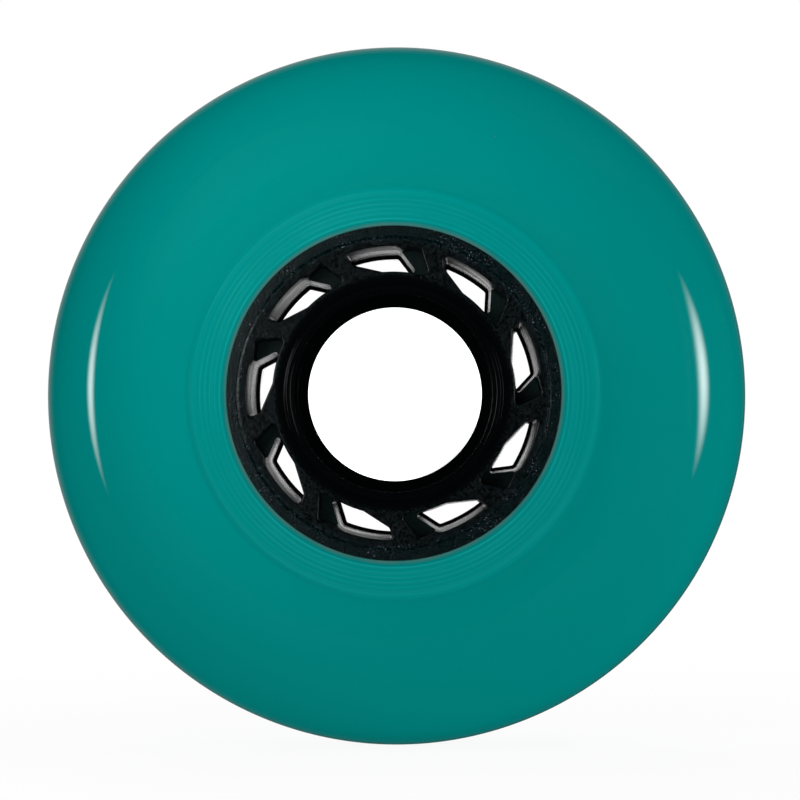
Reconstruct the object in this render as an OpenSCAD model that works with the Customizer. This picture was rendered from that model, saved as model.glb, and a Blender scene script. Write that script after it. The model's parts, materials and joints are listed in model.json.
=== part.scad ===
// Inline skate wheel: a polyurethane tyre cast round a moulded nylon core.
// The wheel turns about the y axis and its front faces -y.
// Angles run clockwise from the top, as seen from the front.
// Inside the modules the wheel's axis is z, with the front at +z.

/* [Tyre] */
// Diameter over the tread
wheel_d = 80; // [76:0.5:90]
// How far the sidewalls, where they are widest, lie inside the hub's ends
tyre_inset = 0.25; // [0:0.05:0.4]
// Radius of the rounded tread
tread_r = 10.5; // [9:0.25:11]
// Angle from the crown of the tread to where the sidewall arcs begin
tread_angle = 22; // [16:0.5:28]
// Width of the faced band that the tyre has round the core
band_w = 4.25; // [3.5:0.05:5]
// Rounding of the faced band's outer edge
band_round = 0.25; // [0.1:0.05:0.3]

/* [Turned grooves] */
// Number of turned grooves in the faced band
groove_count = 5; // [1:1:6]
// Distance from one groove to the next
groove_pitch = 0.55; // [0.45:0.05:0.6]
// Distance of the first groove from the core
groove_start = 0.5; // [0.3:0.05:0.8]
// Radius of the tool nose that left the grooves
groove_nose = 0.4; // [0.2:0.05:0.6]
// Depth of each groove
groove_depth = 0.05; // [0.02:0.01:0.08]

/* [Bearing seats] */
// Diameter of each bearing seat
seat_d = 22; // [21:0.05:23]
// Depth of each seat, from the hub's end to the shoulder
seat_depth = 7; // [5:0.25:9]
// Bore of the shoulder that the bearings rest against
shoulder_d = 19.6; // [16:0.1:20.5]
// Width of the hub over its two ends
hub_w = 24; // [23:0.25:25]
// Chamfer at the mouth of each seat
mouth_chamfer = 0.45; // [0.1:0.05:0.6]

/* [Core] */
// Diameter of the core where the tyre begins
core_d = 37.1; // [36:0.1:39]
// Flat rim of the boss's end, outside the chamfer
boss_lip = 0.4; // [0.2:0.05:0.6]
// How much the boss widens from its end to its foot
boss_flank = 1; // [0.5:0.05:1.2]
// How far the boss stands above the spokes
boss_rise = 0.7; // [0.4:0.05:1.2]
// Width of the faced band on the core's rim
rim_band = 1.35; // [0.6:0.05:2]
// How far the faced band lies below the spokes
rim_cut = 0.15; // [0.05:0.05:0.3]
// How far the anchor flange reaches into the tyre
anchor_reach = 4.6; // [3:0.1:6]
// Thickness of the anchor flange
anchor_t = 5.5; // [4:0.1:8]
// Number of holes through the anchor flange
anchor_holes = 18; // [9:1:24]
// Diameter of each hole through the anchor flange
anchor_hole_d = 2.8; // [1.5:0.1:2.8]

/* [Windows] */
// Number of windows, with a spoke between each two
window_count = 9; // [6:1:10]
// Angle of the first window's middle
first_window = 35.3; // [0:0.1:39.9]
// Ledge left round the boss inside the windows
window_ledge = 0.6; // [0.3:0.05:0.9]
// Rim left outside the windows
window_rim = 2.25; // [1.6:0.05:2.6]
// Angle from a window's middle back to its tail wall
tail_angle = 14.9; // [12:0.1:16]
// Lean of the tail wall
tail_lean = 21; // [10:1:30]
// Angle from a window's middle to the inner end of its swept wall
swept_angle = 0.2; // [-2:0.1:2]
// Lean of the swept wall
swept_lean = 72; // [68:1:76]
// Angle from a window's middle to the web on its leading side
web_angle = 8.8; // [7:0.1:10]
// Lean of the web's edge
web_lean = 35.5; // [30:0.5:40]
// Draft of every moulded wall
draft = 2; // [0.5:0.25:3]
// How far the parting land stands into a window
land_w = 0.3; // [0.1:0.05:0.5]
// Thickness of the parting land
land_t = 0.4; // [0.2:0.05:1]

/* [Pockets] */
// Depth of the pocket beside each window
pocket_depth = 5; // [2:0.25:8]
// Angle from a window's middle to its pocket's wall
pocket_angle = 16.1; // [14:0.1:17]
// Lean of the pocket's wall
pocket_lean = 27.5; // [20:0.5:32]
// How far the pocket's end reaches past the window's outer wall
pocket_rise = 0.15; // [0:0.05:0.4]
// Lean of the pocket's end
pocket_end_lean = -73; // [-80:1:-65]

/* [Hidden] */
$fn = 120;
// How far a cut runs on past the face that it opens
over = 1;

wheel_r = wheel_d / 2;
core_r = core_d / 2;
seat_r = seat_d / 2;
hub_z = hub_w / 2;
shoulder_z = hub_z - seat_depth;
spoke_z = hub_z - boss_rise;
rim_z = spoke_z - rim_cut;
boss_end_r = seat_r + mouth_chamfer + boss_lip;
boss_foot_r = boss_end_r + boss_flank;
anchor_r = core_r + anchor_reach;
anchor_z = anchor_t / 2;
window_in_r = boss_foot_r + window_ledge;
window_out_r = core_r - window_rim;
land_z = land_t / 2;
pocket_z = spoke_z - pocket_depth;
top_z = hub_z + over;

// The sidewall arcs meet the tread's arc without a corner and give the tyre its full width
tyre_w = hub_w - 2 * tyre_inset;
band_r = core_r + band_w;
tread_centre_r = wheel_r - tread_r;
tread_edge_r = tread_centre_r + tread_r * cos(tread_angle);
side_r = (tyre_w / 2 - tread_r * sin(tread_angle)) / (1 - sin(tread_angle));
side_past = (side_r - tread_r) * sin(tread_angle);
side_centre_r = tread_centre_r - (side_r - tread_r) * cos(tread_angle);

// A section's upper half, carried on over the mid-plane
function both_halves(half) = concat(half, [for (i = [len(half) - 1:-1:0]) [half[i].x, -half[i].y]]);

// How far a drafted wall has closed in at height z, from its line at the spoke's face
function closing(z) = (spoke_z - z) * tan(draft);

// Half section of the core's disc: spokes, rim and the anchor flange inside the tyre
disc_half = [
    [0, spoke_z],
    [core_r - rim_band, spoke_z],
    [core_r - rim_band, rim_z],
    [core_r, rim_z],
    [core_r, anchor_z],
    [anchor_r, anchor_z],
];

// Half section of the boss round the bearings
boss_half = [
    [0, hub_z],
    [boss_end_r, hub_z],
    [boss_foot_r, spoke_z],
    [window_in_r, spoke_z],
    [window_in_r + closing(land_z), land_z],
];

// Half section of the bore: a bearing seat with its mouth, and the shoulder behind it
bore_half = [
    [0, hub_z + over],
    [seat_r + mouth_chamfer + over, hub_z + over],
    [seat_r, hub_z - mouth_chamfer],
    [seat_r, shoulder_z],
    [shoulder_d / 2, shoulder_z],
];

// Half section of a window wall: how far it stands into the window, with a land at the mid-plane
function wall_half(land) = concat(
    [[closing(top_z), top_z], [closing(land_z), land_z]],
    land > 0 ? [[closing(land_z) + land, land_z]] : []
);

// Section of the open space in front of a window wall
function window_section(land) = concat(both_halves(wall_half(land)), [[wheel_d, -top_z], [wheel_d, top_z]]);

// Section of the open space in front of a pocket wall, from the pocket's floor up
pocket_section = [
    [closing(top_z), top_z],
    [closing(pocket_z), pocket_z],
    [wheel_d, pocket_z],
    [wheel_d, top_z],
];

// Space beside a straight wall that crosses radius r at angle t and leans clockwise on its way in.
// Side 1 is clockwise of the wall, and side -1 is behind it.
module wall_space(r, t, lean, side, section)
    rotate(-t)
        translate([0, r, 0])
            rotate(lean)
                mirror([side < 0 ? 1 : 0, 0, 0])
                    rotate([90, 0, 0])
                        linear_extrude(2 * wheel_d, center = true)
                            polygon(section);

// Space inside the windows' drafted outer wall
module window_disc()
    rotate_extrude()
        polygon(concat(
            [[0, top_z]],
            [for (p = both_halves(wall_half(land_w))) [window_out_r - p.x, p.y]],
            [[0, -top_z]]
        ));

// Opening right through the core between two spokes; the boss closes its inner side
module window()
    intersection() {
        window_disc();
        wall_space(window_out_r, -tail_angle, tail_lean, 1, window_section(0));
        wall_space(window_in_r, swept_angle, swept_lean, 1, window_section(0));
        wall_space(window_out_r, web_angle, web_lean, -1, window_section(land_w));
    }

// Recess in the front face, over the web on the window's leading side
module pocket()
    intersection() {
        wall_space(window_out_r, pocket_angle, pocket_lean, -1, pocket_section);
        wall_space(window_out_r + pocket_rise, pocket_angle, pocket_end_lean, 1, pocket_section);
        wall_space(window_out_r, 0, web_lean, 1, window_section(0));
    }

// The holes in the anchor flange, which the tyre fills
module anchor_pins()
    for (i = [0:anchor_holes - 1])
        rotate(i * 360 / anchor_holes)
            translate([core_r + anchor_reach / 2, 0, 0])
                cylinder(d = anchor_hole_d, h = anchor_t + over, center = true);

// Turns the wheel's axis from z to y, with the front towards -y
module on_axle() rotate([90, 0, 0]) children();

// Solid turned from half a section
module turned(half) rotate_extrude() polygon(both_halves(half));

// Moulded core: bearing seats, boss, spokes, rim and the anchor flange inside the tyre
module core()
    color([0.07, 0.08, 0.08])
        on_axle()
            difference() {
                union() {
                    difference() {
                        turned(disc_half);
                        for (i = [0:window_count - 1])
                            rotate(-first_window - i * 360 / window_count) {
                                window();
                                pocket();
                                mirror([0, 0, 1])
                                    pocket();
                            }
                        anchor_pins();
                    }
                    turned(boss_half);
                }
                turned(bore_half);
            }

// Section of the tyre: two sidewall arcs, the tread arc that joins them and the faced bands
module tyre_section()
    difference() {
        union() {
            intersection() {
                translate([tread_centre_r, 0])
                    circle(tread_r);
                translate([tread_centre_r, -tread_r])
                    square([tread_r, 2 * tread_r]);
            }
            for (side = [0, 1])
                mirror([0, side]) {
                    sidewall();
                    faced_band();
                }
        }
        translate([core_r - over, -anchor_z])
            square([anchor_reach + over, anchor_t]);
    }

// Half section of the tyre under one sidewall arc, from the faced band to the tread
module sidewall()
    intersection() {
        translate([side_centre_r, -side_past])
            circle(side_r);
        translate([band_r - band_round, -over])
            square([tread_edge_r - band_r + band_round, tyre_w]);
    }

// Raised band that was faced on a lathe together with the core's rim
module faced_band()
    difference() {
        union() {
            translate([core_r, 0])
                square([band_w - band_round, rim_z]);
            translate([core_r, 0])
                square([band_w, rim_z - band_round]);
            translate([band_r - band_round, rim_z - band_round])
                circle(band_round);
        }
        for (i = [0:groove_count - 1])
            translate([core_r + groove_start + i * groove_pitch, rim_z + groove_nose - groove_depth])
                circle(groove_nose);
    }

// Cast tyre, with the pins that lock it through the anchor flange
module tyre()
    color([0, 0.52, 0.49])
        on_axle()
            union() {
                rotate_extrude()
                    tyre_section();
                anchor_pins();
            }

core();
tyre();
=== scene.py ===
"""Inline skate wheel: a glossy teal tyre cast round a black core, seen face on against white.

Sizes are millimetres until a mesh or a shader is made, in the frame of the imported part:
the wheel turns about Y, its front faces -Y, and Z is up.
Heights count along the axle from the mid-plane, positive towards the front.
Angles on the wheel run clockwise from the top, as seen from the front.
Lamps, strips, the floor and the depths of a finish's relief are in metres.
"""

import json
import math
from types import SimpleNamespace

import bmesh
import bpy
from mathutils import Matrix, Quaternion, Vector


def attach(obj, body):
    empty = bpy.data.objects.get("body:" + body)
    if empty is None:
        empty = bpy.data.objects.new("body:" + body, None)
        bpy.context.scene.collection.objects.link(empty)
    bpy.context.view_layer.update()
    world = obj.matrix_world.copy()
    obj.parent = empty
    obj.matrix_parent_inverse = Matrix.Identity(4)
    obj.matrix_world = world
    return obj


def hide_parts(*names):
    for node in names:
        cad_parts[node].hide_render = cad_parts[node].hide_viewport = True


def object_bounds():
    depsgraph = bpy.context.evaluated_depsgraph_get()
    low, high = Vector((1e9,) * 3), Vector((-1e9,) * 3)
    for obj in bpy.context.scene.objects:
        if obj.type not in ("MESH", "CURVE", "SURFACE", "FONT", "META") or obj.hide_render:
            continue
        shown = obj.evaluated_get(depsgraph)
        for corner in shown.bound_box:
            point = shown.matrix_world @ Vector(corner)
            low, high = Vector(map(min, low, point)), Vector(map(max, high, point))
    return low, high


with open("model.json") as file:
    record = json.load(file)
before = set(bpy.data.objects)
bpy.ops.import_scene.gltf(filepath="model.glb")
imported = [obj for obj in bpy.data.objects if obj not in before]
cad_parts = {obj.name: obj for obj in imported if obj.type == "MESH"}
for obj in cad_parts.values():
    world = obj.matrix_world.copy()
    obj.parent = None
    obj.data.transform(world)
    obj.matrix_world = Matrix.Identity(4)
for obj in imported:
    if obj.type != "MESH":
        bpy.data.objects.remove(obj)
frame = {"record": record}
cad_low, cad_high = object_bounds()

MM = 0.001
AXLE = Vector((0, 0))
ACROSS_AXLE = (1, 0, 1)
WHITE = (1, 1, 1, 1)

# The wheel's main sizes, from the frame
WHEEL_R = cad_high.x / MM
HUB_Z = cad_high.y / MM
FLOOR_Z = cad_low.z
MOUNTS = {mount["name"]: mount["dims"] for mount in frame["record"]["mounts"]}
SEAT_R = MOUNTS["bearing_seat_front"]["r_mm"]
SHOULDER_R = MOUNTS["spacer_passage"]["r_mm"]
SHOULDER_Z = MOUNTS["spacer_passage"]["length_mm"] / 2

# Fineness of the meshes, and the angle from which an edge is shaded as sharp
SEGMENTS = 360
EDGE_STEPS = 4
CORNER_STEPS = 6
ARC_STEPS = 12
GROOVE_STEPS = 4
BAND_EDGE_STEPS = 10
SIDE_STEPS = 64
TREAD_STEPS = 16
SHARP_ANGLE = math.radians(40)

# Core: spokes, rim and the flange inside the tyre
CORE_R = 18.55
BOSS_RISE = 0.7
RIM_CUT = 0.15
RIM_BAND = 1.35
RIM_STEP_LEAN = 0.226
RIM_EDGE = 0.06
ANCHOR_REACH = 4.6
ANCHOR_Z = 2.75
SPOKE_Z = HUB_Z - BOSS_RISE
RIM_Z = SPOKE_Z - RIM_CUT
RIM_STEP_R = CORE_R - RIM_BAND
ANCHOR_R = CORE_R + ANCHOR_REACH

# Boss round the bearing seats; its flank has a flat foot and turns up just outside the boss's end
MOUTH_CHAMFER = 0.45
BOSS_LIP = 0.4
BOSS_FLANK = 1.0
FLANK_BEND = 0.3
FLANK_ROUND = 0.025
BOSS_EDGE = 0.03
BOSS_END_R = SEAT_R + MOUTH_CHAMFER + BOSS_LIP
BOSS_FOOT_R = BOSS_END_R + BOSS_FLANK

# Windows and the pocket beside each
WINDOWS = 9
FIRST_WINDOW = math.radians(35.3)
WINDOW_LEDGE = 0.6
WINDOW_RIM = 2.25
DRAFT = math.radians(2)
LAND_W = 0.3
LAND_Z = 0.2
POCKET_DEPTH = 3
POCKET_ANGLE = 16.1
POCKET_RISE = 0.15
FACE_EDGE = 0.2
WINDOW_IN_R = BOSS_FOOT_R + WINDOW_LEDGE
WINDOW_OUT_R = CORE_R - WINDOW_RIM
POCKET_Z = SPOKE_Z - POCKET_DEPTH

# Rounding of each corner of a window and its pocket, at the spoke's face
TAIL_ROUND = 0.45
LEAD_ROUND = 1.0
FOOT_ROUND = 0.5
SWEPT_ROUND = 1.0
TIP_ROUND = 0.45
POCKET_ROUND = 0.55
LEAST_ROUND = 0.03
# The most of an edge that the rounding at one of its ends takes
ROUND_SHARE = 0.45

# Tyre: faced band with its grooves, sidewalls and tread
BAND_W = 4.25
INNER_EDGE = 0.1
TYRE_INSET = 0.25
TREAD_R = 10.5
TREAD_ANGLE = math.radians(22)
GROOVES = 5
GROOVE_PITCH = 0.55
GROOVE_START = 0.5
GROOVE_NOSE = 0.4
GROOVE_DEPTH = 0.015
BAND_R = CORE_R + BAND_W
BAND_EDGE = (BAND_R - 0.40, BAND_R + 0.46)
TYRE_Z = HUB_Z - TYRE_INSET

# Camera, fitted to the photo's frame
IMAGE_PX = 800
WHEEL_PX = (395.95, 395.2)
FOCAL_PX = 2610
CAMERA_DISTANCE = 300
CAMERA_AZIMUTH = math.radians(1.2)
CAMERA_ELEVATION = math.radians(-1.25)
CAMERA_ROLL = math.radians(-0.65)
CLIP_START = 0.01

# Colours, linear
TEAL_DEEP = (0.0, 0.240, 0.225)
TEAL_PALE = (0.0, 0.254, 0.238)
BAND_DEEP = (0.0, 0.250, 0.234)
# Painted highlight on the band's crests, which also colours its fine turning lines
BAND_CREST_HIGHLIGHT = (0.004, 0.318, 0.300)
# Painted highlight along the band's lip
BAND_LIP_HIGHLIGHT = (0.0, 0.276, 0.260)
# Darker teal next to the core
TEAL_NEAR_CORE = (0.0, 0.195, 0.182)
# Pale colour of a painted edge highlight along the core, also used for the dust specks
DUST_AND_EDGE_HIGHLIGHT = (0.11, 0.165, 0.150)
NYLON_DEEP = (0.0002, 0.0006, 0.0007)
NYLON_PALE = (0.0031, 0.0060, 0.0068)
RIM_DEEP = (0.0, 0.0012, 0.0013)
RIM_PALE = (0.0010, 0.0080, 0.0088)
# Pocket floors painted paler, standing in for the light that reaches them
POCKET_PAINTED_LIGHT = (0.0050, 0.0140, 0.0140)
BOSS_NYLON = (0.0010, 0.0015, 0.0017)
# Pale specks painted as glints of the grained faces
PAINTED_GLINT = (0.15, 0.16, 0.22)
FLOOR_PALE = (0.85, 0.85, 0.85, 1)

# Where the tyre's colours change: radii and, for the crests, distances from a groove's middle
BAND_FADE = (BAND_R - 0.2, BAND_R + 0.25)
# Where the painted highlight along the band's lip lies
LIP_R = BAND_R - 0.25
LIP_REACH = 0.45
# Where the darker teal next to the core fades
NEAR_CORE_FADE = (CORE_R + 0.35, CORE_R + 0.8)
# Where the painted edge highlight along the core fades, and its strength
EDGE_HIGHLIGHT_FADE = (CORE_R + 0.05, CORE_R + 0.55)
EDGE_HIGHLIGHT_SHARE = 0.5
LINE_FADE = (CORE_R + 2.2, CORE_R + 3.6)
LEAST_LINE = 0.3
CREST = (0.22 * GROOVE_PITCH, 0.48 * GROOVE_PITCH)

# Where the core's finish changes: radii, heights, and how squarely a surface faces along the axle
RIM_FADE = (WINDOW_OUT_R + 0.2, RIM_STEP_R + 0.2)
BOSS_FADE = (BOSS_FOOT_R - 0.2, BOSS_FOOT_R + 0.5)
BORE_FADE = (SEAT_R + 0.1, SEAT_R + 0.3)
STEP_R = RIM_STEP_R + RIM_STEP_LEAN / 2
STEP_REACH = 0.2
# Depth below which the pocket floors are painted paler
SUNK_FADE = (POCKET_Z + 0.1, POCKET_Z + 0.5)
FACE_TURN = (0.5, 0.8)
# The share of a reach over which a ring on the tyre or the core keeps its full strength
NEAR_SHARE = 0.4

# Finish of the tyre: roughness, and depth of its relief
CLOUD_SCALE = 45
CLOUD_SPAN = (0.3, 0.7)
TYRE_ROUGHNESS = (0.045, 0.07)
BAND_DULL = 0.04
LINE_RELIEF = 0.000004
PEEL_SCALE = 220
PEEL_RELIEF = 0.000003
# Dust: cells per metre, radius of a speck in metres and the share of the cells that have one
DUST = (260, 0.00013, 0.06)
DUST_SHARE = 0.35

# Finish of the core: roughness, and depth of its relief
WALL_ROUGHNESS = (0.36, 0.22)
STREAK_SCALE = 420
STREAK_STRETCH = (0.3, 1, 0.3)
STREAK_SPAN = (0.35, 0.65)
STREAK_ROUGHNESS = (-0.05, 0.06)
BORE_ROUGHNESS = 0.04
SPOKE_ROUGHNESS = 0.29
RIM_ROUGHNESS = 0.32
BOSS_ROUGHNESS = 0.1
MOTTLE_ROUGHNESS = 0.06
# Share of the painted glint specks on the spokes and on the rim
FLECK_SHARE = (0.10, 0.8)
GRAIN_SCALE = 5500
SPOKE_GRAIN = 0.00003
RIM_GRAIN = 0.00008
WALL_STREAK = 0.00003

# Patches: noise per metre, the span of the noise that is used, and the levels at the span's ends
FINE_LINES = (3600, (0.44, 0.66), (-0.25, 0.25))
# Patches that make the painted crest highlights and fine lines uneven
LINE_PATCHES = (90, (0.35, 0.65), (0.4, 1.0))
# Patches that break up the painted edge highlight along the core
EDGE_HIGHLIGHT_PATCHES = (260, (0.3, 0.6), (0.5, 1.0))
MOTTLE = (4200, (0.36, 0.64), (0.0, 1.0))
# Specks and their groups for the painted glints
FLECKS = (5200, (0.62, 0.70), (0.0, 1.0))
FLECK_GROUPS = (420, (0.40, 0.62), (0.0, 1.0))
STEP_DASHES = (1300, (0.40, 0.58), (0.4, 0.10))
PLAIN_DETAIL = 2.0
FINE_DETAIL = 3.0
LINE_DETAIL = 1.0

# Light: each lamp's name, place, size and watts; none of these shows in the gloss
LAMPS = [
    ("key", (-0.035, -0.08, 0.05), (0.08, 0.08), 0.0445),
    ("side", (0.425, -0.285, 0.0), (0.085, 0.42), 1.06),
    ("top", (0.25, -0.1, 0.4), (0.3, 0.3), 0.56),
    ("low_front", (0.0, -0.10, -0.03), (0.25, 0.02), 0.0097),
    ("rim_top", (0.0, 0.15, 0.4), (0.3, 0.2), 0.50),
    ("rim_left", (-0.4, 0.15, 0.0), (0.2, 0.3), 0.60),
    ("rim_right", (0.4, 0.15, 0.0), (0.2, 0.3), 0.60),
    ("back", (-0.15, 0.45, 0.30), (0.3, 0.3), 1.2),
]
# Lamps for the black core alone, which show in its faces, its edges and along the windows' walls
CORE_LAMPS = [
    ("core_front", (-0.074, -0.10, 0.017), (0.05, 0.05), 0.0155),
    ("core_back", (0.0, 0.6, 0.0), (0.26, 0.26), 0.20),
    ("core_left", (-0.417, -0.166, 0.026), (0.077, 0.33), 0.25),
    ("core_right", (0.424, -0.147, 0.033), (0.10, 0.33), 0.36),
]

# Curved strips that show in the tyre's gloss. All but the last value are degrees:
# angle from the axle, its growth from end to end, half width, way round the axle and half length.
# The level is the one in the strip's middle, and it fades towards all edges.
STRIPS = [
    ("gloss_left", 67.5, 3.6, 5.8, 274.0, 22.3, 12.8),
    ("gloss_right", 71.0, 0.0, 9.2, 85.8, 21.3, 14.9),
]
STRIP_DISTANCE = 0.5
STRIP_STEPS = 24
STRIP_TAPER = 0.8
# Keeps the strips' ends from closing to a point
STRIP_BLUNT = 0.001

# What the gloss shows behind the wheel: a white middle, and a soft ring that is palest to the upper left.
# Edges are cosines of the angle from the axle.
# The ring's spread is in cosines of the way round from where it is palest.
MIDDLE_EDGE = (0.982, 0.994)
MIDDLE_LEVEL = 1.2
RING_EDGE = (0.62, 1.0)
RING_WAY = (-0.643, 0, 0.766)
RING_SPREAD = (-0.9, 1.25)
RING_LEVEL = (0.03, 0.38)
AMBIENT = 0.01

# Floor: its glow, and how much of it the camera sees as white near the wheel and far from it
FLOOR_SIZE = 6
FLOOR_GLOW = 0.67
SHADOW_REACH = (0.02, 0.14)
SHADOW_SEEN = (0.93, 1.0)


def polar(r, angle):
    """The point at radius r and that angle on the wheel's face."""
    return Vector((r * math.sin(angle), r * math.cos(angle)))


def turned(points, angle):
    """Points of the wheel's face, turned clockwise about the axle."""
    up = polar(1, angle)
    return [Vector((p.x * up.y + p.y * up.x, p.y * up.y - p.x * up.x)) for p in points]


def sweep(centre, start, end, steps, share=(0, 1)):
    """Points on the shorter arc about a centre from start to end, or on a share of it."""
    first, last = start - centre, end - centre
    angle = math.atan2(first.y, first.x)
    turn_by = math.atan2(last.y, last.x) - angle
    turn_by = (turn_by + math.pi) % (2 * math.pi) - math.pi
    shares = [share[0] + (share[1] - share[0]) * i / steps for i in range(steps + 1)]
    angles = [angle + turn_by * s for s in shares]
    return [centre + first.length * Vector((math.cos(a), math.sin(a))) for a in angles]


class Straight:
    """A straight wall that crosses radius r at an angle, leaning clockwise on its way in.

    The opening lies clockwise of it for side 1, and behind it for side -1.
    """

    def __init__(self, r, angle, lean, side):
        out = polar(1, math.radians(angle))
        along = Vector((out.y, -out.x))
        lean = math.radians(lean)
        self.normal = side * (math.cos(lean) * along + math.sin(lean) * out)
        self.place = self.normal.dot(r * out)

    def touch(self, centre, grow):
        """The point nearest to a centre on the wall moved back by grow."""
        return centre - self.normal * (self.normal.dot(centre) - self.place + grow)


class Round:
    """A wall on a circle about the axle: the opening lies inside it for side 1, outside for side -1."""

    def __init__(self, r, side):
        self.r = r
        self.side = side

    def touch(self, centre, grow):
        """The point nearest to a centre on the wall moved back by grow."""
        return centre.normalized() * (self.r + self.side * grow)


# The walls of a window and its pocket, at the spoke's face
TAIL = Straight(r=WINDOW_OUT_R, angle=-14.9, lean=21, side=1)
SWEPT = Straight(r=WINDOW_IN_R, angle=0.2, lean=72, side=1)
WEB = Straight(r=WINDOW_OUT_R, angle=7.6, lean=39.5, side=-1)
POCKET = Straight(r=WINDOW_OUT_R, angle=POCKET_ANGLE, lean=27.5, side=-1)
POCKET_END = Straight(r=WINDOW_OUT_R + POCKET_RISE, angle=POCKET_ANGLE, lean=-73, side=1)
RIM = Round(r=WINDOW_OUT_R, side=1)
BOSS = Round(r=WINDOW_IN_R, side=-1)


def line_on_circle(normal, place, centre, r):
    """Where the line normal . point = place crosses a circle: the higher point first."""
    offset = place - normal.dot(centre)
    half = math.sqrt(r * r - offset * offset)
    along = Vector((-normal.y, normal.x))
    points = [centre + normal * offset + along * half, centre + normal * offset - along * half]
    return sorted(points, key=lambda point: -point.y)


def rounding(first, second, radius, grow_first, grow_second):
    """Start, centre and end of the rounding between two walls, each moved back by its grow."""
    radius = max(radius + min(grow_first, grow_second), LEAST_ROUND)
    if isinstance(first, Round):
        end, centre, start = rounding_of_line(second, first, radius, grow_second, grow_first)
        return start, centre, end
    return rounding_of_line(first, second, radius, grow_first, grow_second)


def rounding_of_line(first, second, radius, grow_first, grow_second):
    """Start, centre and end of the rounding from a straight wall to any other wall."""
    place = first.place - grow_first + radius
    if isinstance(second, Round):
        reach = second.r + second.side * (grow_second - radius)
        centre = line_on_circle(first.normal, place, AXLE, reach)[0]
    else:
        other = second.place - grow_second + radius
        a, b = first.normal, second.normal
        det = a.x * b.y - a.y * b.x
        centre = Vector(((place * b.y - other * a.y) / det, (other * a.x - place * b.x) / det))
    return first.touch(centre, grow_first), centre, second.touch(centre, grow_second)


def closing(height):
    """How far a drafted wall has closed in at a height, from its line at the spoke's face."""
    return (SPOKE_Z - height) * math.tan(DRAFT)


def pocket_share(grow):
    """The share of the window's leading corner that shows before the pocket's end cuts it."""
    start, centre, end = rounding(RIM, WEB, LEAD_ROUND, grow, grow)
    radius = (start - centre).length
    crossings = line_on_circle(POCKET_END.normal, POCKET_END.place - grow, centre, radius)
    whole = (start - centre).angle(end - centre)
    return min((start - centre).angle(point - centre) / whole for point in crossings)


def outline(grow, land, split):
    """The stretches of a window's outline, with its walls moved back by grow.

    The rim's and the web's walls stand into the window by land. The leading corner is cut
    at the share split, where the pocket's end begins.
    """
    lead_grow = grow - land
    tail = rounding(TAIL, RIM, TAIL_ROUND, grow, lead_grow)
    lead = rounding(RIM, WEB, LEAD_ROUND, lead_grow, lead_grow)
    foot = rounding(WEB, BOSS, FOOT_ROUND, lead_grow, grow)
    swept = rounding(BOSS, SWEPT, SWEPT_ROUND, grow, grow)
    tip = rounding(SWEPT, TAIL, TIP_ROUND, grow, grow)
    pocket = rounding(POCKET_END, POCKET, POCKET_ROUND, grow, grow)
    heel = rounding(POCKET, BOSS, FOOT_ROUND, grow, grow)

    def bend(corner, share=(0, 1)):
        return sweep(corner[1], corner[0], corner[2], CORNER_STEPS, share)

    outer = bend(tail) + sweep(AXLE, tail[2], lead[0], ARC_STEPS)[1:-1] + bend(lead, (0, split))
    recess = bend(pocket) + bend(heel) + sweep(AXLE, heel[2], foot[2], CORNER_STEPS)[1:-1]
    web = bend(lead, (split, 1))[1:] + bend(foot)[:-1]
    inner = sweep(AXLE, foot[2], swept[0], ARC_STEPS)[:-1] + bend(swept) + bend(tip)
    return {"outer": outer, "recess": recess, "web": web, "inner": inner}


def ring(bm, points, height):
    """A row of vertices at one height."""
    return [bm.verts.new((p.x * MM, -height * MM, p.y * MM)) for p in points]


def skin(bm, first, second):
    """Quads between two closed rows of vertices."""
    for i in range(len(first)):
        j = (i + 1) % len(first)
        bm.faces.new((first[i], first[j], second[j], second[i]))


def rounded(corners, radius):
    """A section with its inner corners rounded, without its last point."""
    points = [Vector(corner) for corner in corners]
    made = [points[0]]
    for before, here, after in zip(points, points[1:], points[2:]):
        back, on = before - here, after - here
        reach = min(radius, ROUND_SHARE * back.length, ROUND_SHARE * on.length)
        start = here + back.normalized() * reach
        end = here + on.normalized() * reach
        for i in range(EDGE_STEPS + 1):
            s = i / EDGE_STEPS
            made.append((1 - s) ** 2 * start + 2 * s * (1 - s) * here + s * s * end)
    return made


def turn(bm, section, closed=False):
    """Turns a section of (radius, height) points about the axle and returns its rings."""
    step = 2 * math.pi / SEGMENTS
    rings = [ring(bm, [polar(p.x, i * step) for i in range(SEGMENTS)], p.y) for p in section]
    after = rings[1:] + rings[:1] if closed else rings[1:]
    for first, second in zip(rings, after):
        skin(bm, first, second)
    return rings


def mirrored(half):
    """The points of a half section on the other side of the mid-plane, from its end to its start."""
    return [Vector((p.x, -p.y)) for p in reversed(half)]


def new_mesh(bm, name):
    """A mesh with what a bmesh holds, which is freed."""
    mesh = bpy.data.meshes.new(name)
    bm.to_mesh(mesh)
    bm.free()
    return mesh


def new_object(name, data):
    """An object in the scene with this data."""
    made = bpy.data.objects.new(name, data)
    bpy.context.scene.collection.objects.link(made)
    return made


def finish_piece(bm, name, slot):
    """Makes a piece of the wheel in place of the CAD node named slot, which it hides."""
    bmesh.ops.recalc_face_normals(bm, faces=bm.faces)
    mesh = new_mesh(bm, name)
    mesh.shade_smooth()
    mesh.set_sharp_from_angle(angle=SHARP_ANGLE)
    piece = new_object(name, mesh)
    weighted = piece.modifiers.new("even_shading", "WEIGHTED_NORMAL")
    weighted.keep_sharp = True
    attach(piece, "root")
    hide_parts(slot)
    return piece


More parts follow.
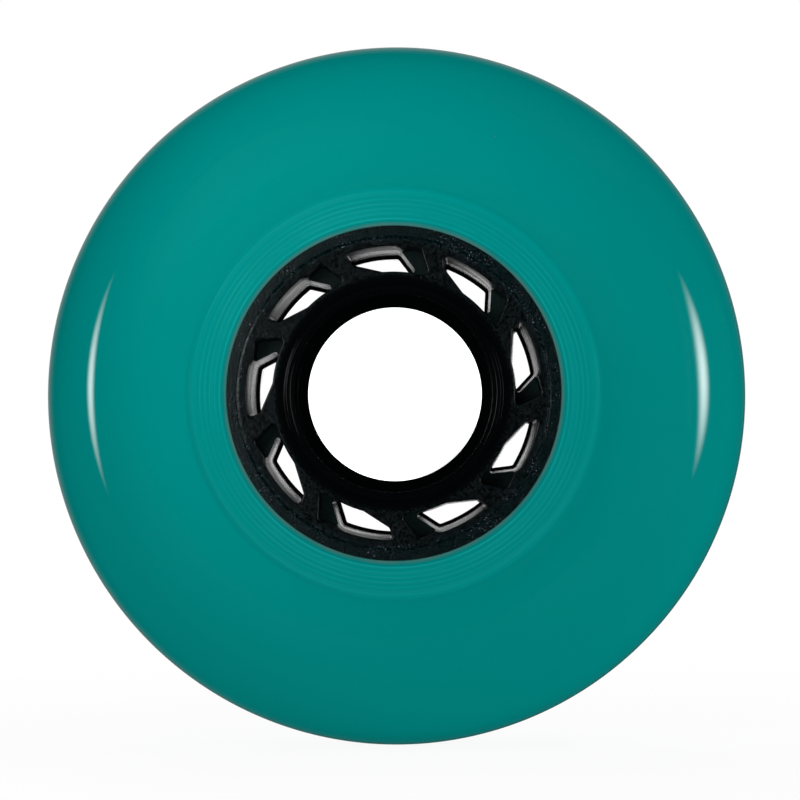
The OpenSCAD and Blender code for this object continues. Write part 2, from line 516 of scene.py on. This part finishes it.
def window_walls(bm, angle, side):
    """One half of a window with its pocket; returns the rows at the spoke's face and the land's ring."""
    def row(points, height):
        return ring(bm, turned(points, angle), side * height)

    def pocket_rows(grow, height):
        parts = outline(grow, 0, pocket_share(grow))
        return [row(parts[key], height) for key in ("outer", "recess", "inner")]

    floor_grow = -closing(POCKET_Z)
    split = pocket_share(floor_grow)
    levels = []
    for i in range(EDGE_STEPS + 1):
        lean = math.pi / 2 * i / EDGE_STEPS
        height = SPOKE_Z - FACE_EDGE * (1 - math.cos(lean))
        levels.append(pocket_rows(FACE_EDGE * (1 - math.sin(lean)) - closing(height), height))
    levels.append(pocket_rows(floor_grow, POCKET_Z))
    loops = [sum(rows, []) for rows in levels]
    for first, second in zip(loops, loops[1:]):
        skin(bm, first, second)

    outer, recess, inner = levels[-1]
    web = row(outline(floor_grow, 0, split)["web"], POCKET_Z)
    bm.faces.new([outer[-1]] + recess + [inner[0]] + web[::-1])
    above = outer + web + inner
    for land in (0, LAND_W):
        parts = outline(-closing(LAND_Z), land, split)
        below = row(parts["outer"] + parts["web"] + parts["inner"], LAND_Z)
        skin(bm, above, below)
        above = below
    return levels[0], above


def spoke_faces(bm, fronts, boss_ring, rim_ring):
    """The flat faces between the boss and the rim, one to each spoke."""
    top = CORNER_STEPS + ARC_STEPS // 2
    low = ARC_STEPS // 2

    def nearest(row, vertex):
        return min(range(SEGMENTS), key=lambda i: (row[i].co - vertex.co).length)

    def stretch(row, start, end):
        return [row[(start + i) % SEGMENTS] for i in range((end - start) % SEGMENTS + 1)]

    cuts = []
    for outer, recess, inner in fronts:
        cuts.append({
            "tail": inner[low:] + outer[:top + 1],
            "lead": outer[top:] + recess + inner[:low + 1],
            "rim": nearest(rim_ring, outer[top]),
            "boss": nearest(boss_ring, inner[low]),
        })
    for here, after in zip(cuts, cuts[1:] + cuts[:1]):
        rim = stretch(rim_ring, here["rim"], after["rim"])
        boss = stretch(boss_ring, here["boss"], after["boss"])
        bm.faces.new(rim + after["tail"][::-1] + boss[::-1] + here["lead"][::-1])


def boss_half():
    """The boss's section on the front: a flank with a flat foot and a steep wall, the end and the bore."""
    flank = rounded([
        (BOSS_FOOT_R, SPOKE_Z),
        (BOSS_END_R + FLANK_BEND, SPOKE_Z),
        (BOSS_END_R, HUB_Z),
    ], FLANK_ROUND)
    return rounded(flank + [
        (BOSS_END_R, HUB_Z),
        (SEAT_R + MOUTH_CHAMFER, HUB_Z),
        (SEAT_R, HUB_Z - MOUTH_CHAMFER),
        (SEAT_R, SHOULDER_Z),
        (SHOULDER_R, SHOULDER_Z),
        (SHOULDER_R, 0),
    ], BOSS_EDGE)


def rim_half():
    """The rim's section on the front, with the flange inside the tyre."""
    return rounded([
        (RIM_STEP_R, SPOKE_Z),
        (RIM_STEP_R + RIM_STEP_LEAN, RIM_Z),
        (CORE_R, RIM_Z),
        (CORE_R, ANCHOR_Z),
        (ANCHOR_R, ANCHOR_Z),
        (ANCHOR_R, 0),
    ], RIM_EDGE)


def make_core():
    """The moulded core: boss and bore, nine spokes with their windows and pockets, rim and flange."""
    bm = bmesh.new()
    boss, rim = boss_half(), rim_half()
    boss_rings = turn(bm, boss + mirrored(boss))
    rim_rings = turn(bm, rim + mirrored(rim))
    angles = [FIRST_WINDOW + i * 2 * math.pi / WINDOWS for i in range(WINDOWS)]
    lands = []
    for side, end in ((1, 0), (-1, -1)):
        halves = [window_walls(bm, angle, side) for angle in angles]
        lands.append([land for _, land in halves])
        spoke_faces(bm, [front for front, _ in halves], boss_rings[end], rim_rings[end])
    for front, back in zip(*lands):
        skin(bm, front, back)
    return finish_piece(bm, "moulded_core", "core")


def arc(centre, r, start, end, steps):
    """Points of a section's arc, at angles from the outward radius towards the front."""
    angles = [start + (end - start) * i / steps for i in range(steps + 1)]
    return [centre + r * Vector((math.cos(a), math.sin(a))) for a in angles]


def grooves():
    """The section of the turned grooves in the faced band."""
    half_angle = math.acos(1 - GROOVE_DEPTH / GROOVE_NOSE)
    down = -math.pi / 2
    points = []
    for i in range(GROOVES):
        centre = Vector((CORE_R + GROOVE_START + i * GROOVE_PITCH, RIM_Z + GROOVE_NOSE - GROOVE_DEPTH))
        points += arc(centre, GROOVE_NOSE, down - half_angle, down + half_angle, GROOVE_STEPS)
    return points


def tyre_half():
    """The tyre's section on the front, from the core to the crown of the tread."""
    slope = math.sin(TREAD_ANGLE)
    side_r = (TYRE_Z - TREAD_R * slope) / (1 - slope)
    tread_centre = Vector((WHEEL_R - TREAD_R, 0))
    side_centre = tread_centre - (side_r - TREAD_R) * Vector((math.cos(TREAD_ANGLE), slope))

    def side_angle(r):
        return math.acos((r - side_centre.x) / side_r)

    points = [Vector((CORE_R, RIM_Z - INNER_EDGE)), Vector((CORE_R + INNER_EDGE, RIM_Z))] + grooves()
    for i in range(BAND_EDGE_STEPS):
        s = i / BAND_EDGE_STEPS
        r = BAND_EDGE[0] + s * (BAND_EDGE[1] - BAND_EDGE[0])
        side_z = side_centre.y + side_r * math.sin(side_angle(r))
        points.append(Vector((r, RIM_Z + (side_z - RIM_Z) * s * s * (3 - 2 * s))))
    points += arc(side_centre, side_r, side_angle(BAND_EDGE[1]), TREAD_ANGLE, SIDE_STEPS)[:-1]
    return points + arc(tread_centre, TREAD_R, TREAD_ANGLE, 0, TREAD_STEPS)


def make_tyre():
    """The cast tyre, with the slot that the core's flange fills."""
    bm = bmesh.new()
    half = [Vector((ANCHOR_R, ANCHOR_Z)), Vector((CORE_R, ANCHOR_Z))] + tyre_half()
    crown = half.pop()
    turn(bm, half + [crown] + mirrored(half), closed=True)
    return finish_piece(bm, "cast_tyre", "tyre")


def node(tree, kind, links=None, values=None, **settings):
    """Adds a shader node with its settings, values and incoming links."""
    made = tree.nodes.new("ShaderNode" + kind)
    for key, value in settings.items():
        setattr(made, key, value)
    for key, value in (values or {}).items():
        made.inputs[key].default_value = value
    for key, socket in (links or {}).items():
        tree.links.new(socket, made.inputs[key])
    return made


def new_material(name):
    """An empty node material and its tree."""
    material = bpy.data.materials.new(name)
    material.use_nodes = True
    material.node_tree.nodes.clear()
    return material, material.node_tree


def principled(tree, colour, roughness, relief):
    """Puts a Principled shader with these inputs on a material's output; the relief is in metres."""
    bump = node(tree, "Bump", {"Height": relief}, {"Strength": 1.0, "Distance": 1.0})
    shader = node(tree, "BsdfPrincipled", {
        "Base Color": colour,
        "Roughness": roughness,
        "Normal": bump.outputs["Normal"],
    })
    node(tree, "OutputMaterial", {"Surface": shader.outputs["BSDF"]})


def step_up(tree, value, low, high, least=0.0, most=1.0):
    """A smooth step from least to most as a value goes from low to high."""
    made = node(
        tree, "MapRange", {"Value": value},
        {"From Min": low, "From Max": high, "To Min": least, "To Max": most},
        interpolation_type="SMOOTHSTEP",
    )
    return made.outputs["Result"]


def over_span(tree, length, span, first=0.0, last=1.0):
    """A smooth step from first to last as a length goes over a span in millimetres."""
    return step_up(tree, length, span[0] * MM, span[1] * MM, first, last)


def maths(tree, operation, first, second):
    """One sum of two sockets or plain numbers."""
    made = node(tree, "Math", operation=operation)
    for slot, value in enumerate((first, second)):
        if isinstance(value, (int, float)):
            made.inputs[slot].default_value = value
        else:
            tree.links.new(value, made.inputs[slot])
    return made.outputs["Value"]


def product(tree, first, *others):
    """The product of sockets and plain numbers."""
    for other in others:
        first = maths(tree, "MULTIPLY", first, other)
    return first


def largest(tree, first, *others):
    """The largest of sockets and plain numbers."""
    for other in others:
        first = maths(tree, "MAXIMUM", first, other)
    return first


def without_sign(tree, value):
    """The size of a value, whichever its sign."""
    return maths(tree, "ABSOLUTE", value, 0)


def rest(tree, share):
    """What a share leaves of 1."""
    return maths(tree, "SUBTRACT", 1.0, share)


def between(tree, share, first, second):
    """A number between two, each a socket or a plain number."""
    return maths(tree, "ADD", product(tree, share, second), product(tree, rest(tree, share), first))


def vector_maths(tree, operation, first, second=(0, 0, 0)):
    """The node for one sum of a vector socket and, where the sum has two, a plain vector."""
    return node(tree, "VectorMath", {0: first}, {1: second}, operation=operation)


def part_along_axle(tree, vector):
    """The part of a vector along the wheel's axle, positive towards the back."""
    return node(tree, "SeparateXYZ", {"Vector": vector}).outputs["Y"]


def from_axle(tree, place):
    """The distance of a place from the wheel's axle."""
    flat = vector_maths(tree, "MULTIPLY", place, ACROSS_AXLE).outputs["Vector"]
    return vector_maths(tree, "LENGTH", flat).outputs["Value"]


def near_radius(tree, radius, centre, reach):
    """1 close to a centre radius, falling to 0 at that reach from it, both in millimetres."""
    gap = without_sign(tree, maths(tree, "SUBTRACT", radius, centre * MM))
    return over_span(tree, gap, (NEAR_SHARE * reach, reach), 1.0, 0.0)


def tint(tree, share, first, second):
    """A colour between two, each a socket or a plain (r, g, b)."""
    made = node(tree, "Mix", {"Factor": share}, data_type="RGBA")
    for key, value in (("A", first), ("B", second)):
        socket = next(s for s in made.inputs if s.name == key and s.type == "RGBA")
        if isinstance(value, tuple):
            socket.default_value = (*value, 1)
        else:
            tree.links.new(value, socket)
    return next(s for s in made.outputs if s.type == "RGBA")


def noise(tree, place, scale, detail=PLAIN_DETAIL):
    """A cloudy noise from 0 to 1, with features about 1 / scale metres wide."""
    made = node(tree, "TexNoise", {"Vector": place}, {"Scale": scale, "Detail": detail})
    return made.outputs["Fac"]


def patches(tree, place, scale, span, levels, detail=PLAIN_DETAIL):
    """A noise of which a span is brought to two levels."""
    return step_up(tree, noise(tree, place, scale, detail), *span, *levels)


def specks(tree, place, scale, radius, kept):
    """Round specks: one to each cell of a 1 / scale metre grid, of which a share is kept."""
    cells = node(tree, "TexVoronoi", {"Vector": place}, {"Scale": scale})
    reach = radius * scale
    near = step_up(tree, cells.outputs["Distance"], reach / 2, reach, 1.0, 0.0)
    draw = node(tree, "SeparateXYZ", {"Vector": cells.outputs["Color"]}).outputs["X"]
    return product(tree, near, maths(tree, "LESS_THAN", draw, kept))


def crest_highlights_and_lines(tree, place, radius):
    """Painted highlights on the crests between the turned grooves and fine turning lines, uneven along them
    and fading outwards.
    """
    past = maths(tree, "SUBTRACT", radius, (CORE_R + GROOVE_START) * MM)
    crest = maths(tree, "PINGPONG", past, GROOVE_PITCH / 2 * MM)
    scale, span, levels = FINE_LINES
    values = {"Scale": scale, "Detail": LINE_DETAIL}
    fine = node(tree, "TexNoise", {"W": radius}, values, noise_dimensions="1D").outputs["Fac"]
    lines = maths(tree, "ADD", over_span(tree, crest, CREST), step_up(tree, fine, *span, *levels))
    uneven = patches(tree, place, *LINE_PATCHES)
    fade = over_span(tree, radius, LINE_FADE, 1.0, LEAST_LINE)
    return product(tree, largest(tree, lines, 0.0), uneven, fade)


def tyre_colour(tree, place, radius, cloud, band, lines):
    """Teal, with a faced band paler from painted highlights on its crests and lip, darker teal by the core,
    and a painted edge highlight there.
    """
    colour = tint(tree, cloud, TEAL_DEEP, TEAL_PALE)
    # Painted highlights on the band's crests, with its fine turning lines
    colour = tint(tree, band, colour, tint(tree, lines, BAND_DEEP, BAND_CREST_HIGHLIGHT))
    # Painted highlight along the band's lip
    colour = tint(tree, near_radius(tree, radius, LIP_R, LIP_REACH), colour, BAND_LIP_HIGHLIGHT)
    # Darker teal next to the core
    colour = tint(tree, over_span(tree, radius, NEAR_CORE_FADE, 1.0, 0.0), colour, TEAL_NEAR_CORE)
    # Painted edge highlight along the core, broken up by patches
    edge = over_span(tree, radius, EDGE_HIGHLIGHT_FADE, EDGE_HIGHLIGHT_SHARE, 0.0)
    colour = tint(tree, product(tree, edge, patches(tree, place, *EDGE_HIGHLIGHT_PATCHES)), colour, DUST_AND_EDGE_HIGHLIGHT)
    return tint(tree, product(tree, specks(tree, place, *DUST), DUST_SHARE), colour, DUST_AND_EDGE_HIGHLIGHT)


def tyre_material():
    """Glossy polyurethane, with a slight orange peel and a duller faced band."""
    material, tree = new_material("polyurethane")
    place = node(tree, "TexCoord").outputs["Object"]
    radius = from_axle(tree, place)
    band = over_span(tree, radius, BAND_FADE, 1.0, 0.0)
    cloud = noise(tree, place, CLOUD_SCALE)
    lines = crest_highlights_and_lines(tree, place, radius)
    colour = tyre_colour(tree, place, radius, cloud, band, lines)
    gloss = step_up(tree, cloud, *CLOUD_SPAN, *TYRE_ROUGHNESS)
    roughness = maths(tree, "ADD", gloss, product(tree, band, BAND_DULL))
    peel = product(tree, noise(tree, place, PEEL_SCALE), PEEL_RELIEF)
    relief = maths(tree, "ADD", product(tree, lines, band, LINE_RELIEF), peel)
    principled(tree, colour, roughness, relief)
    return material


def core_masks(tree, place):
    """Where the core's parts lie, each a share from 0 to 1."""
    radius = from_axle(tree, place)
    height = without_sign(tree, part_along_axle(tree, place))
    normal = node(tree, "NewGeometry").outputs["True Normal"]
    facing = without_sign(tree, part_along_axle(tree, normal))
    return SimpleNamespace(
        rim=over_span(tree, radius, RIM_FADE),
        boss=over_span(tree, radius, BOSS_FADE, 1.0, 0.0),
        bore=over_span(tree, radius, BORE_FADE, 1.0, 0.0),
        step=near_radius(tree, radius, STEP_R, STEP_REACH),
        sunk=over_span(tree, height, SUNK_FADE, 1.0, 0.0),
        face=step_up(tree, facing, *FACE_TURN),
    )


def core_colour(tree, place, masks, mottle):
    """Mottled black, with specks painted as glints that are strongest on the rim, painted light on the
    pocket floors, and an even boss.
    """
    colour = tint(tree, mottle, NYLON_DEEP, NYLON_PALE)
    colour = tint(tree, masks.rim, colour, tint(tree, mottle, RIM_DEEP, RIM_PALE))
    # Pale specks painted as glints, strongest on the rim
    flecks = product(tree, patches(tree, place, *FLECKS), patches(tree, place, *FLECK_GROUPS))
    share = product(tree, flecks, step_up(tree, masks.rim, 0, 1, *FLECK_SHARE), masks.face)
    colour = tint(tree, share, colour, PAINTED_GLINT)
    # Pocket floors painted paler, standing in for the light that reaches them
    colour = tint(tree, product(tree, masks.sunk, masks.face), colour, POCKET_PAINTED_LIGHT)
    return tint(tree, masks.boss, colour, BOSS_NYLON)


def core_roughness(tree, place, masks, mottle, streaks):
    """Walls that get smoother towards the mid-plane, satin faces, and a smooth boss and bore."""
    wall = over_span(tree, part_along_axle(tree, place), (-SPOKE_Z, -LAND_Z), *WALL_ROUGHNESS)
    wall = maths(tree, "ADD", wall, step_up(tree, streaks, *STREAK_SPAN, *STREAK_ROUGHNESS))
    wall = between(tree, masks.boss, wall, BOSS_ROUGHNESS)
    wall = between(tree, masks.bore, wall, BORE_ROUGHNESS)
    satin = step_up(tree, masks.rim, 0, 1, SPOKE_ROUGHNESS, RIM_ROUGHNESS)
    satin = maths(tree, "ADD", satin, product(tree, mottle, MOTTLE_ROUGHNESS))
    satin = between(tree, masks.boss, satin, BOSS_ROUGHNESS)
    satin = between(tree, masks.step, satin, patches(tree, place, *STEP_DASHES))
    return between(tree, masks.face, wall, satin)


def core_relief(tree, place, masks, streaks):
    """Grain on the faces, coarser on the rim, and streaks along the windows' walls."""
    grained = product(tree, masks.face, rest(tree, largest(tree, masks.boss, masks.step)))
    depth = product(tree, grained, step_up(tree, masks.rim, 0, 1, SPOKE_GRAIN, RIM_GRAIN))
    grain = product(tree, noise(tree, place, GRAIN_SCALE, FINE_DETAIL), depth)
    walls = rest(tree, largest(tree, masks.face, masks.bore, masks.boss))
    return maths(tree, "ADD", grain, product(tree, streaks, walls, WALL_STREAK))


def core_material():
    """Black moulded nylon: grained faces, a coarse rim, pale specks painted as glints, streaky walls and a
    smooth bore.
    """
    material, tree = new_material("moulded_nylon")
    place = node(tree, "TexCoord").outputs["Object"]
    masks = core_masks(tree, place)
    mottle = patches(tree, place, *MOTTLE, FINE_DETAIL)
    drawn = vector_maths(tree, "MULTIPLY", place, STREAK_STRETCH).outputs["Vector"]
    streaks = noise(tree, drawn, STREAK_SCALE, FINE_DETAIL)
    colour = core_colour(tree, place, masks, mottle)
    roughness = core_roughness(tree, place, masks, mottle, streaks)
    principled(tree, colour, roughness, core_relief(tree, place, masks, streaks))
    return material


def make_camera():
    """The photo's view: nearly along the axle, from a little to the right and below."""
    across = Vector((math.cos(CAMERA_AZIMUTH), math.sin(CAMERA_AZIMUTH), 0))
    level = Vector((math.sin(CAMERA_AZIMUTH), -math.cos(CAMERA_AZIMUTH), 0))
    back = level * math.cos(CAMERA_ELEVATION) + Vector((0, 0, math.sin(CAMERA_ELEVATION)))
    up = back.cross(across)
    mm_per_px = CAMERA_DISTANCE / FOCAL_PX
    aim = (across * (IMAGE_PX / 2 - WHEEL_PX[0]) - up * (IMAGE_PX / 2 - WHEEL_PX[1])) * mm_per_px * MM
    data = bpy.data.cameras.new("camera")
    data.lens = data.sensor_width * FOCAL_PX / IMAGE_PX
    data.clip_start = CLIP_START
    camera = new_object("camera", data)
    camera.location = aim + back * CAMERA_DISTANCE * MM
    camera.rotation_mode = "QUATERNION"
    camera.rotation_quaternion = (-back).to_track_quat("-Z", "Y") @ Quaternion((0, 0, 1), CAMERA_ROLL)
    bpy.context.scene.camera = camera


def area_lamp(name, place, size, watts, in_gloss=False):
    """An oval lamp that faces the wheel's centre; returns it."""
    data = bpy.data.lights.new(name, "AREA")
    data.shape = "ELLIPSE"
    data.size, data.size_y = size
    data.energy = watts
    lamp = new_object(name, data)
    lamp.location = place
    lamp.rotation_mode = "QUATERNION"
    lamp.rotation_quaternion = (-Vector(place)).to_track_quat("-Z", "Y")
    lamp.visible_glossy = in_gloss
    lamp.visible_camera = False
    return lamp


def light_only(light, piece):
    """Lets a lamp or a strip light one piece alone."""
    lit = bpy.data.collections.new(light.name + "_lights")
    lit.objects.link(piece)
    light.light_linking.receiver_collection = lit


def strip_mesh(name, lean, growth, half_width, way, half_length):
    """A curved strip that tapers to both ends, with each vertex's place across and along it from -1 to 1."""
    bm = bmesh.new()
    across_layer = bm.verts.layers.float.new("across")
    along_layer = bm.verts.layers.float.new("along")
    pairs = []
    for i in range(STRIP_STEPS + 1):
        along = 2 * i / STRIP_STEPS - 1
        round_axle = math.radians(way + along * half_length)
        reach = half_width * (1 + STRIP_BLUNT - along * along) ** STRIP_TAPER
        pair = []
        for across in (-1, 1):
            angle = math.radians(lean + along * growth / 2 + across * reach)
            flat = polar(math.sin(angle), round_axle)
            vertex = bm.verts.new(Vector((flat.x, -math.cos(angle), flat.y)) * STRIP_DISTANCE)
            vertex[across_layer] = across
            vertex[along_layer] = along
            pair.append(vertex)
        pairs.append(pair)
    for first, second in zip(pairs, pairs[1:]):
        bm.faces.new(first + second[::-1])
    return new_mesh(bm, name)


def strip_material(name, level):
    """A white glow that fades from a strip's middle to its edges, and isn't sampled as a lamp."""
    material, tree = new_material(name)
    fades = []
    for layer in ("across", "along"):
        place = node(tree, "Attribute", attribute_name=layer).outputs["Fac"]
        fades.append(step_up(tree, without_sign(tree, place), 0.0, 1.0, 1.0, 0.0))
    glow = node(tree, "Emission", {"Strength": product(tree, *fades, level)}, {"Color": WHITE})
    node(tree, "OutputMaterial", {"Surface": glow.outputs["Emission"]})
    material.cycles.emission_sampling = "NONE"
    return material


def gloss_strip(name, lean, growth, half_width, way, half_length, level):
    """A curved strip at a nearly steady angle from the axle, seen only in the gloss; returns it."""
    strip = new_object(name, strip_mesh(name, lean, growth, half_width, way, half_length))
    strip.data.materials.append(strip_material(name, level))
    strip.visible_camera = False
    strip.visible_diffuse = False
    strip.visible_transmission = False
    strip.visible_shadow = False
    return strip


def gloss_backdrop(tree):
    """How bright the backdrop is where the wheel mirrors it: a white middle and a soft ring, both behind."""
    way = node(tree, "TexCoord").outputs["Generated"]
    behind = part_along_axle(tree, way)
    flat = vector_maths(tree, "MULTIPLY", way, ACROSS_AXLE).outputs["Vector"]
    round_axle = vector_maths(tree, "NORMALIZE", flat).outputs["Vector"]
    lean = vector_maths(tree, "DOT_PRODUCT", round_axle, RING_WAY).outputs["Value"]
    level = step_up(tree, lean, *RING_SPREAD, *RING_LEVEL)
    soft_ring = product(tree, level, step_up(tree, behind, *RING_EDGE))
    return largest(tree, soft_ring, step_up(tree, behind, *MIDDLE_EDGE, 0.0, MIDDLE_LEVEL))


def make_world():
    """White to the camera, a soft even light on the wheel, and a backdrop in its gloss."""
    world = bpy.data.worlds.new("studio")
    bpy.context.scene.world = world
    world.use_nodes = True
    tree = world.node_tree
    tree.nodes.clear()
    path = node(tree, "LightPath").outputs
    gloss = product(tree, gloss_backdrop(tree), path["Is Glossy Ray"])
    soft = product(tree, path["Is Diffuse Ray"], AMBIENT)
    level = largest(tree, gloss, soft, path["Is Camera Ray"], path["Is Transmission Ray"])
    background = node(tree, "Background", {"Strength": level}, {"Color": WHITE})
    node(tree, "OutputWorld", {"Surface": background.outputs["Background"]})


def floor_material():
    """Pale, and white to the camera apart from the shadow close to the wheel."""
    material, tree = new_material("floor")
    place = node(tree, "TexCoord").outputs["Object"]
    reach = vector_maths(tree, "LENGTH", place).outputs["Value"]
    to_camera = node(tree, "LightPath").outputs["Is Camera Ray"]
    seen = product(tree, to_camera, step_up(tree, reach, *SHADOW_REACH, *SHADOW_SEEN))
    pale = node(tree, "BsdfDiffuse", values={"Color": FLOOR_PALE}).outputs["BSDF"]
    white = node(tree, "Emission", values={"Color": WHITE, "Strength": 1.0}).outputs["Emission"]
    mix = node(tree, "MixShader", {0: largest(tree, seen, FLOOR_GLOW), 1: pale, 2: white})
    node(tree, "OutputMaterial", {"Surface": mix.outputs["Shader"]})
    return material


def make_floor():
    """The floor that the wheel stands on, which its gloss doesn't show."""
    bpy.ops.mesh.primitive_plane_add(size=FLOOR_SIZE, location=(0, 0, FLOOR_Z))
    floor = bpy.context.object
    floor.name = "floor"
    floor.data.materials.append(floor_material())
    floor.visible_glossy = False


core = make_core()
core.data.materials.append(core_material())
tyre = make_tyre()
tyre.data.materials.append(tyre_material())
make_camera()
make_world()
make_floor()
for lamp_values in LAMPS:
    area_lamp(*lamp_values)
for lamp_values in CORE_LAMPS:
    light_only(area_lamp(*lamp_values, in_gloss=True), core)
for strip_values in STRIPS:
    light_only(gloss_strip(*strip_values), tyre)

bpy.context.scene.view_settings.view_transform = "Standard"
